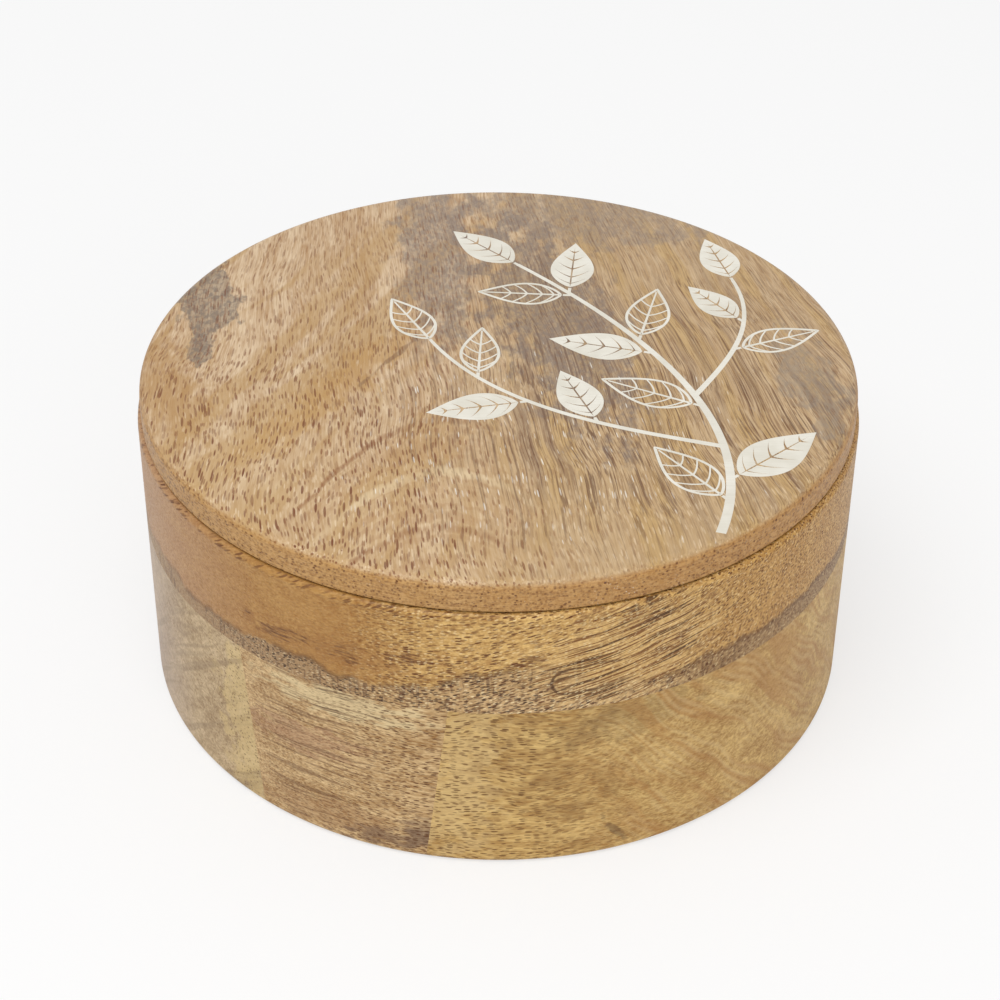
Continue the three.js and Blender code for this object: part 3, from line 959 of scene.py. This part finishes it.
def ring_band(ring):
    """The layers of the band, its area, and how much of its specks each place keeps.

    The band's top edge is BAND_TOP, plus a smooth hill round HILL_AT, plus noise. The band and its border
    are drawn by the depth below that edge.
    """
    from_hill = apart(ring.aside, HILL_AT)
    hill = node("MapRange", [from_hill, HILL_REACH, HILL_CREST, BAND_TOP, BAND_TOP + BAND_HILL], **SMOOTH)
    edge_noise = drift(ring.mm, (9, 9, 300), detail=3.0, seed=6.0)
    edge = node("Math", [edge_noise, BAND_WOBBLE, hill], operation="MULTIPLY_ADD")
    below = node("Math", [edge, ring.z], operation="SUBTRACT")
    band = node("MapRange", [below, *BAND_DEPTH], **SMOOTH)
    border = node("MapRange", [apart(below, BORDER_AT), BORDER_WIDTH, 0.0], **SMOOTH)
    border_gaps = drift(ring.mm, (7, 7, 4), 0.4, 0.55, seed=29.0)
    band_left = node("MapRange", [ring.x, *BAND_LEFT])
    band_right = node("MapRange", [ring.x, *BAND_RIGHT])
    far_left = node("MapRange", [ring.x, *BAND_FAR_LEFT])
    ends = node("Math", [far_left, band_right], operation="MAXIMUM")
    kept = node("MapRange", [ends, 0, 1, 1.0, SPECKS_AT_ENDS])
    upright = drift(ring.mm, (0.9, 0.9, 5), 0.55, 0.65, detail=1.0, seed=61.0)
    pale_foot = ring.mark((12, 41), (19, 4.2), ragged=0.6, soft=0.9)
    layers = [
        ("#b8976a", band, 0.85),
        ("#947859", band, band_left, 0.6),
        ("#6b5038", band, upright, 0.7),
        ("#82633a", band, band_right, 0.6),
        ("#d6b484", pale_foot, ring.skin, 0.55),
        ("#56361a", border, border_gaps, 0.55),
        ("#6f4e2c", border, band_right, 0.6),
    ]
    return layers, band, kept


# %% [markdown]
# Right of the middle a knot has left a fan of long dark lines, and at its foot one dark line that bends
# back in a U, like a hook. The pores stay faint there, so that the lines read.

# %% Knot
FAN_AT, FAN_RADII, FAN_TILT = (25, 51), (18, 11.5), 13.0
HOOK_AT, HOOK_TILT, HOOK_RADIUS = (13.0, 46.4), 6, 2.9
HOOK_LINE_FADES, HOOK_LINE_FULL = 0.5, 0.15
PORES_KEPT_ON_FAN = 0.2


def ring_knot(ring):
    """The layers of the fan and the hook, and how much of the pores each place keeps.

    The hook is where the length of (min(along, 0), over) is HOOK_RADIUS: a half circle at the left, and from
    its two ends two straight lines to the right.
    """
    fan_turn = (0, 0, math.radians(FAN_TILT))
    tilted = node("Mapping", [ring.wall, (*FAN_AT, 0), fan_turn], vector_type="TEXTURE")
    wavy = warped(tilted, 16.0, (0, 0.7, 0))
    fine = drift(wavy, (12, 0.42, 1), 0.47, 0.6, detail=1.0, seed=9.0)
    bold = drift(wavy, (18, 0.8, 1), 0.57, 0.65, detail=1.0, seed=19.0)
    fan = ring.mark(FAN_AT, FAN_RADII, angle=FAN_TILT, ragged=0.35, soft=0.5)
    kept = node("MapRange", [fan, 0, 1, 1.0, PORES_KEPT_ON_FAN])
    wandering = warped(ring.wall, 6.0, (0.5, 0.5, 0))
    hook_turn = (0, 0, math.radians(HOOK_TILT))
    hook_place = node("Mapping", [wandering, (*HOOK_AT, 0), hook_turn], vector_type="TEXTURE")
    along, over, _ = node("SeparateXYZ", [hook_place]).node.outputs
    bent = node("Math", [along, 0.0], operation="MINIMUM")
    bent_place = node("CombineXYZ", [bent, over])
    away = node("VectorMath", [bent_place], out="Value", operation="LENGTH")
    off_line = apart(away, HOOK_RADIUS)
    hook = node("MapRange", [off_line, HOOK_LINE_FADES, HOOK_LINE_FULL], **SMOOTH)
    hook_area = ring.mark((15, 46), (10, 8), ragged=0.3, soft=0.9)
    layers = [
        ("#dfba7c", fan, ring.skin, 0.55),
        ("#704112", fan, fine, ring.skin, 0.9),
        ("#452705", fan, bold, ring.skin, 0.9),
        ("#4c2d10", hook, hook_area, ring.skin, 0.85),
    ]
    return layers, kept


# %% [markdown]
# Small dark smudges with streaky edges lie in a row along the ring, and torn fibres stand out like short
# hairs under its rim.

# %% Smudges and hairs
SMUDGES = [
    {"centre": (-47.4, 48.2), "radii": (4.2, 1.3), "angle": -8},
    {"centre": (-41, 49.2), "radii": (4.0, 1.0), "angle": -5},
    {"centre": (-30, 49.2), "radii": (3.5, 1.6), "angle": 5},
    {"centre": (-17, 51), "radii": (4.5, 1.4), "angle": 4},
    {"centre": (5.5, 52), "radii": (3.5, 1.2), "angle": 10},
    {"centre": (33.5, 50.6), "radii": (4.5, 0.6), "angle": 24},
]
HAIR_TURN = math.radians(-24)
HAIRS_START, HAIRS_FULL = 1.9, 1.0
# Where the hairs start to come in and are full, along X.
HAIRS_LEFT = (4.0, -10.0)


def ring_smudges(ring):
    """The smudges, in one layer: the strongest of them at each place, torn into streaks."""
    streaky = drift(warped(ring.wall, 8.0, (0, 0.4, 0)), (6, 0.55, 1), 0.42, 0.6, seed=51.0)
    smudges = 0.0
    for smudge in SMUDGES:
        smudges = node("Math", [ring.mark(**smudge, ragged=0.7, soft=0.9), smudges], operation="MAXIMUM")
    return [("#643c1b", smudges, streaky, ring.skin, 0.9)]


def ring_hairs(ring):
    """Leaning hairs in tufts, from HAIRS_START to HAIRS_FULL below the rim, on the left of the front."""
    place = node("Mapping", {"Vector": ring.wall, "Rotation": (0, 0, HAIR_TURN)})
    hairs = pores(place, (2.6, 0.46, 1), 0.50, faintest=0.3, seed=13.0)
    depth = node("MapRange", [ring.z, RING_HIGH - HAIRS_START, RING_HIGH - HAIRS_FULL], **SMOOTH)
    left = node("MapRange", [ring.x, *HAIRS_LEFT])
    tufts = drift(ring.mm, (5, 5, 40), 0.34, 0.46, seed=14.0)
    return [("#5f3415", hairs, depth, left, tufts, ring.skin, 0.95)]


# %% Upper board wood
CLIMB_FROM, CLIMB_RATE = -30.0, 0.0035
# Where each kind of side starts and is full, along X; the rosy one also carries a painted sheen at the left.
SMOOTH_SIDE, ROSY_SIDE_AND_SHEEN, GOLDEN_SIDE = (-16.0, -30.0), (-46.0, -68.0), (34.0, 54.0)
DASHES_ON_SMOOTH_SIDE = 0.14


def ring_grain(ring):
    """Grain along X that climbs to the right: height less CLIMB_RATE (x - CLIMB_FROM)^2, past CLIMB_FROM."""
    past = node("Math", [ring.x, CLIMB_FROM], operation="SUBTRACT")
    past = node("Math", [past, 0.0], operation="MAXIMUM")
    square = node("Math", [past, past], operation="MULTIPLY")
    level = node("Math", [square, -CLIMB_RATE, ring.z], operation="MULTIPLY_ADD")
    return warped(node("CombineXYZ", [ring.x, ring.y, level]), 22.0, (0, 0.9, 0.9))


def ring_wood():
    """The upper board: a tone, three kinds of side, the rosy one partly a painted sheen, the layers above,
    and pores along the grain.
    """
    ring = wall_board((3.0, 2.2, 1))
    grain = ring_grain(ring)
    broad = drift(grain, (50, 8, 6), seed=2.0)
    mottle = drift(grain, (2.6, 1.4, 1.1), *FIRM, seed=23.0)
    fibres = drift(grain, (4, 0.45, 0.38), detail=1.0)
    sand = drift(ring.mm, (0.5, 0.5, 0.5), *FIRM, detail=0.0, seed=41.0)
    speckle = drift(ring.mm, (0.9, 0.9, 0.7), *FIRM, detail=1.0)
    tone = blended((broad, 0.30), (mottle, 0.25), (fibres, 0.25), (sand, 0.20))
    smooth_side = node("MapRange", [ring.x, *SMOOTH_SIDE])
    rosy_side_and_sheen = node("MapRange", [ring.x, *ROSY_SIDE_AND_SHEEN])
    golden_side = node("MapRange", [ring.x, *GOLDEN_SIDE])
    halo = ring.mark((-33, 48.6), (22, 3.4), angle=4, ragged=0.8, soft=0.9)

    band_layers, band, in_band = ring_band(ring)
    knot_layers, off_fan = ring_knot(ring)
    fewer = node("MapRange", [smooth_side, 0, 1, 1.0, DASHES_ON_SMOOTH_SIDE])
    dashes = pores(grain, (1.7, 0.52, 0.44), 0.49, faintest=0.35)
    specks = pores(grain, (1.1, 0.50, 0.44), 0.54, faintest=0.3, seed=70.0)
    glints = pores(grain, (1.1, 0.54, 0.44), 0.42, faintest=0.0, seed=90.0)

    colour = stacked(
        "#93642a",
        ("#e4bd76", tone),
        ("#9a672c", smooth_side, 0.6),
        # A rosy tone at the far left, paled there as a painted sheen towards the silhouette.
        ("#bb9474", rosy_side_and_sheen, 0.55),
        ("#b5833c", golden_side, 0.55),
        ("#9a6a34", halo, ring.skin, 0.45),
        *band_layers,
        *knot_layers,
        *ring_smudges(ring),
        ("#8a5c2c", speckle, 0.22),
        ("#f2d8a4", glints, fewer, 0.55),
        ("#562600", dashes, fewer, off_fan, 0.95),
        ("#ecdab2", glints, band, in_band, off_fan, 0.45),
        ("#331600", specks, band, in_band, off_fan, 0.95),
        *ring_hairs(ring),
    )
    return colour, dashes, fibres


# The same wood cut along and across its fibres: golden brown, lively in front and plain on both sides.
ring_material = lacquered("mango_upper_board", ring_wood)

# %% [markdown]
# ## The lower blocks
#
# The three blocks come from different boards. The left one shows its end grain, greyish and smooth, cut
# across its tilted growth rings. The middle one is browner, with long level streaks at its left, dashes
# at its right and a dark foot. The right one is pale yellow at its joint, full of short level dashes, and
# turns to orange-tan waves further round.

# %% Left block wood
RING_TILT = math.radians(42)
# Along X: where the painted sheen of the far side starts and is full, and where the specks rise from one
# share to the other.
FAR_SIDE_SHEEN = (-62.0, -74.0)
SPECKS_RISE, SPECK_SHARES = (-64.0, -54.0), (0.1, 0.75)


def left_block_wood():
    """The left block: growth rings lie in planes that rise towards the front, over a greyish tan."""
    block = wall_board((3.5, 4.5, 1))
    grain = warped(block.mm, 22.0, (0, 1.5, 1.5))
    wandering = warped(block.mm, 16.0, (0, 0.8, 0.8))
    tilted = node("Mapping", {"Vector": wandering, "Rotation": (RING_TILT, 0, 0)})
    rings = drift(tilted, (90, 60, 2.6), 0.52, 0.66, seed=8.0)
    broad = drift(tilted, (60, 40, 7), *FIRM, seed=4.0)
    mottle = drift(block.mm, (2.6, 2.0, 1.4), *FIRM, seed=25.0)
    fibres = drift(grain, (3, 0.45, 0.45), *FIRM, detail=1.0)
    tone = blended((broad, 0.35), (mottle, 0.30), (fibres, 0.35))
    near_joint = block.mark((-54, 18), (7, 26), angle=4, ragged=0.5, soft=0.7)
    far_side_sheen = node("MapRange", [block.x, *FAR_SIDE_SHEEN])
    specks = pores(grain, (1.5, 0.62, 0.62), 0.40, faintest=0.1)
    speck_area = node("MapRange", [block.x, *SPECKS_RISE, *SPECK_SHARES])
    colour = stacked(
        "#8d6f46",
        ("#cfb68f", tone),
        ("#d0b57c", near_joint, block.skin, 0.6),
        # Lilac grey at the far left edge: a painted sheen where the wall turns away from view.
        ("#b3a19a", far_side_sheen, 0.5),
        ("#755c3e", rings, 0.4),
        ("#6f5230", specks, speck_area),
    )
    return colour, specks, fibres


# %% Middle block wood
# Where the dashes rise from one share to the other, along X.
DASHES_RISE, DASH_SHARES = (-36.0, -18.0), (0.4, 0.95)


def middle_block_wood():
    """The middle block: long level streaks at its left, dashes at its right and a dark foot by its joint."""
    block = wall_board((4.5, 1.6, 1))
    grain = warped(block.mm, 20.0, (0, 0.8, 1.0))
    broad = drift(grain, (40, 9, 4.5), seed=1.0)
    mottle = drift(grain, (5, 1.4, 0.8), *FIRM, seed=26.0)
    fibres = drift(grain, (6, 0.4, 0.30), *FIRM, detail=1.0)
    tone = blended((broad, 0.30), (mottle, 0.28), (fibres, 0.42))
    wall_grain = warped(block.wall, 16.0, (0, 0.7, 0))
    streaks = drift(wall_grain, (26, 0.6, 1), 0.5, 0.64, detail=1.5, seed=15.0)
    fine_lines = drift(wall_grain, (13, 0.3, 1), 0.58, 0.66, detail=1.0, seed=16.0)
    streak_area = block.mark((-37, 22), (15, 22), ragged=0.3, soft=0.7)
    line_area = block.mark((-32, 35.5), (11, 3.2), ragged=0.4, soft=0.6)
    pale = block.mark((-31, 36), (16, 3.4), ragged=0.5, soft=0.6)
    reddish = block.mark((-40, 24), (12, 3.6), angle=3, ragged=0.5, soft=0.7)
    brown_foot = block.mark((-36, 6), (14, 4.5), angle=4, ragged=0.5, soft=0.7)
    dark_foot = block.mark((-20, 4.2), (10, 2.2), angle=10, ragged=0.8, soft=1.0)
    dark_corner = block.mark((-14.0, 7), (4.0, 4.0), ragged=0.8, soft=1.1)
    dashes = pores(grain, (1.9, 0.50, 0.38), 0.49, faintest=0.3)
    dash_area = node("MapRange", [block.x, *DASHES_RISE, *DASH_SHARES])
    colour = stacked(
        "#926937",
        ("#dcbd8c", tone),
        ("#dcc698", pale, block.skin, 0.7),
        ("#a0765a", reddish, block.skin, 0.45),
        ("#99714a", brown_foot, block.skin, 0.4),
        ("#6c4a2a", streaks, streak_area, block.skin, 0.6),
        ("#4e3823", fine_lines, line_area, block.skin, 0.8),
        ("#6a5140", dark_foot, block.skin, 0.6),
        ("#6a5140", dark_corner, block.skin, 0.5),
        ("#582f0c", dashes, dash_area),
    )
    return colour, dashes, fibres


# %% Right block wood
WAVE_FALL = math.radians(46)
# Millimetres round the wall where the waves come in, and where they end on the way to the back.
WAVES_RISE, WAVES_END = (12.0, 34.0), (190.0, 130.0)
# Where the dashes fall from one share to the other, along X.
DASHES_FALL, FALLING_SHARES = (4.0, 30.0), (0.85, 0.15)
RIPPLE_EVERY = 1.7
# Blender's Wave texture has one wave to 2 pi / 20 of its coordinate at a scale of 1.
RIPPLES = {"Scale": 2 * math.pi / 20 / RIPPLE_EVERY, "Distortion": 1.5, "Detail": 1.0, "Detail Scale": 0.4}


def right_block_wood():
    """The right block: level dashes at its joint, a mottled middle, then waves that fall to the right."""
    block = wall_board((3.5, 3.5, 1))
    grain = warped(block.mm, 18.0, (0, 1.0, 1.2))
    broad = drift(grain, (26, 10, 7), seed=12.0)
    mottle = drift(grain, (3.2, 1.5, 1.0), *FIRM, seed=27.0)
    fibres = drift(grain, (4, 0.42, 0.32), *FIRM, detail=1.0)
    tone = blended((broad, 0.32), (mottle, 0.32), (fibres, 0.36))
    blotches = drift(block.wall, (9, 6, 1), 0.46, 0.62, detail=2.5, seed=33.0)
    blotch_area = block.mark((12, 22), (16, 18), ragged=0.4, soft=0.7)
    yellow = block.mark((-6.5, 24), (6, 28), angle=-5, ragged=0.8, soft=1.1)
    olive = block.mark((26, 35), (14, 4.5), angle=4, ragged=0.6, soft=0.9)
    dark_spot = block.mark((23.6, 6.6), (3.4, 0.7), angle=-56, ragged=0.8, soft=0.9)

    wandering = warped(block.wall, 20.0, (2.5, 2.5, 0))
    sweeping = node("Mapping", {"Vector": wandering, "Rotation": (0, 0, WAVE_FALL)})
    waves = drift(sweeping, (50, 3.6, 1), 0.45, 0.6, seed=18.0)
    ripples = node("TexWave", {"Vector": sweeping, **RIPPLES}, out="Fac", bands_direction="Y")
    ripple_area = drift(sweeping, (14, 6, 1), 0.4, 0.6, seed=28.0)
    past_front = node("MapRange", [block.aside, *WAVES_RISE])
    before_back = node("MapRange", [block.aside, *WAVES_END, 0, block.skin])
    wave_area = node("Math", [past_front, before_back], operation="MULTIPLY")
    dashes = pores(grain, (1.8, 0.52, 0.42), 0.49, faintest=0.25)
    fewer = node("MapRange", [block.x, *DASHES_FALL, *FALLING_SHARES])
    colour = stacked(
        "#93692f",
        ("#d8b674", tone),
        ("#cfb27c", yellow, block.skin, 0.5),
        ("#86602f", blotches, blotch_area, block.skin, 0.5),
        ("#8b6f41", olive, block.skin, 0.45),
        ("#a06d33", waves, wave_area, 0.5),
        ("#d9bd88", ripples, ripple_area, wave_area, 0.3),
        ("#5f4528", dark_spot, block.skin, 0.6),
        ("#583008", dashes, fewer),
    )
    return colour, dashes, fibres


# End grain, dull and greyish; a browner board with dark streaks; and a yellow one with a silky wave.
block_materials = [
    lacquered("mango_left_block", left_block_wood),
    lacquered("mango_middle_block", middle_block_wood),
    lacquered("mango_right_block", right_block_wood),
]

# %% [markdown]
# ## The resin
#
# The inlay is ivory resin, cured hard and sanded with the wood. It is opaque and satin, with a faint
# cloudiness and the fine scratches of the sanding. Real scratches are a few hundredths of a millimetre
# wide, too fine to show, so they are drawn ten times as wide.

# %% Resin
SCRATCH_DEPTH = 0.01 * MM
CURED_RESIN = {"Roughness": 0.45, "IOR": 1.5}


def resin():
    """Ivory with clouds of a slightly darker ivory, 6 mm across, and the ripple that sanding leaves."""
    material = begin(bpy.data.materials.new("ivory_resin_sanded"))
    mm = object_mm()
    cloud = drift(mm, (6, 6, 6))
    scratches = drift(mm, (6, 0.3, 1), detail=1.0, seed=3.0)
    colour = stacked("#e9e5d9", ("#dcd7c9", cloud), ("#cfc8b8", scratches, 0.25))
    relief = node("Bump", {"Height": scratches, "Distance": SCRATCH_DEPTH})
    surface = node("BsdfPrincipled", {"Base Color": colour, "Normal": relief, **CURED_RESIN})
    node("OutputMaterial", {"Surface": surface})
    return material


resin_material = resin()
print(resin_material.name, len(resin_material.node_tree.nodes), "nodes")

# %% [markdown]
# ## Dressing the frame
#
# Each fine piece stands for its solid: it rides on the same body, and it takes its finish from the material
# that it is given. The solids stay hidden behind it, and still carry the collision and the mass.

# %% Pieces onto their bodies
def dress(piece, material, body, cad_node):
    """Gives a piece its material, ties it to its body, and hides the node that it stands for."""
    piece.data.materials.append(material)
    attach(piece, body)
    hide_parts(cad_node)


dress(upper_ring, ring_material, "box", "upper_ring")
for block, material, side in zip(lower_blocks, block_materials, SIDES):
    dress(block, material, "box", f"lower_block_{side}")
dress(lid_board, lid_material, "lid", "lid_panel")
inlays = [inlay_stem, *inlay_leaves]
for inlay in inlays:
    dress(inlay, resin_material, "lid", inlay.name.removesuffix("_resin"))
print("dressed: the ring, the lid,", len(lower_blocks), "blocks and", len(inlays), "pieces of resin")

# %% [markdown]
# ## Floor and light
#
# The box stands on a pale floor under soft light from all round, with a little more from above and the
# front. The floor is near white. For the camera part of it glows, so that it reads as a white ground that
# still keeps the shadow. The world is white where the camera or a reflection sees it.

# %% Floor
FLOOR_REACH = 8.0
GLOW_SHARE = 0.6
WHITE = (1, 1, 1, 1)

floor_points = np.array([[-1, -1, 0], [1, -1, 0], [1, 1, 0], [-1, 1, 0]]) * FLOOR_REACH / MM
floor = piece_from("floor", floor_points, np.array([[0, 1, 2, 3]]))
floor_material = begin(bpy.data.materials.new("pale_floor"))
matt = node("BsdfDiffuse", {"Color": linear("#f4f4f4")})
glow = node("Emission", {"Color": WHITE, "Strength": 1.0})
seen = node("LightPath", out="Is Camera Ray")
glowing = node("Math", [seen, GLOW_SHARE], operation="MULTIPLY")
mixed = node("MixShader", [glowing, matt, glow])
node("OutputMaterial", {"Surface": mixed})
floor.data.materials.append(floor_material)
print("floor:", 2 * FLOOR_REACH, "m across")

# %% World
WORLD_LIGHT = 0.62

world = begin(bpy.data.worlds.new("white_room"))
rays = node("LightPath").node.outputs
seen = node("Math", [rays["Is Camera Ray"], rays["Is Glossy Ray"]], operation="MAXIMUM")
seen = node("Math", [seen, rays["Is Transmission Ray"]], operation="MAXIMUM")
strength = node("MapRange", [seen, 0, 1, WORLD_LIGHT, 1.0])
white = node("Background", {"Color": WHITE, "Strength": strength})
node("OutputWorld", {"Surface": white})
bpy.context.scene.world = world
bpy.context.scene.view_settings.view_transform = "Standard"
print("world light:", WORLD_LIGHT)


# %% Lamps
def softbox(name, place, size, watts):
    """A square lamp that faces the box. Its place and size are in metres."""
    data = bpy.data.lights.new(name, "AREA")
    data.size = size
    data.energy = watts
    lamp = bpy.data.objects.new(name, data)
    bpy.context.scene.collection.objects.link(lamp)
    lamp.location = place
    lamp.rotation_euler = (aim - Vector(place)).to_track_quat("-Z", "Y").to_euler()
    print(name, watts, "W")


softbox("softbox_above", place=(-0.3, -0.5, 1.3), size=0.9, watts=9.0)
softbox("softbox_front", place=(0.5, -1.3, 0.6), size=0.8, watts=3.5)
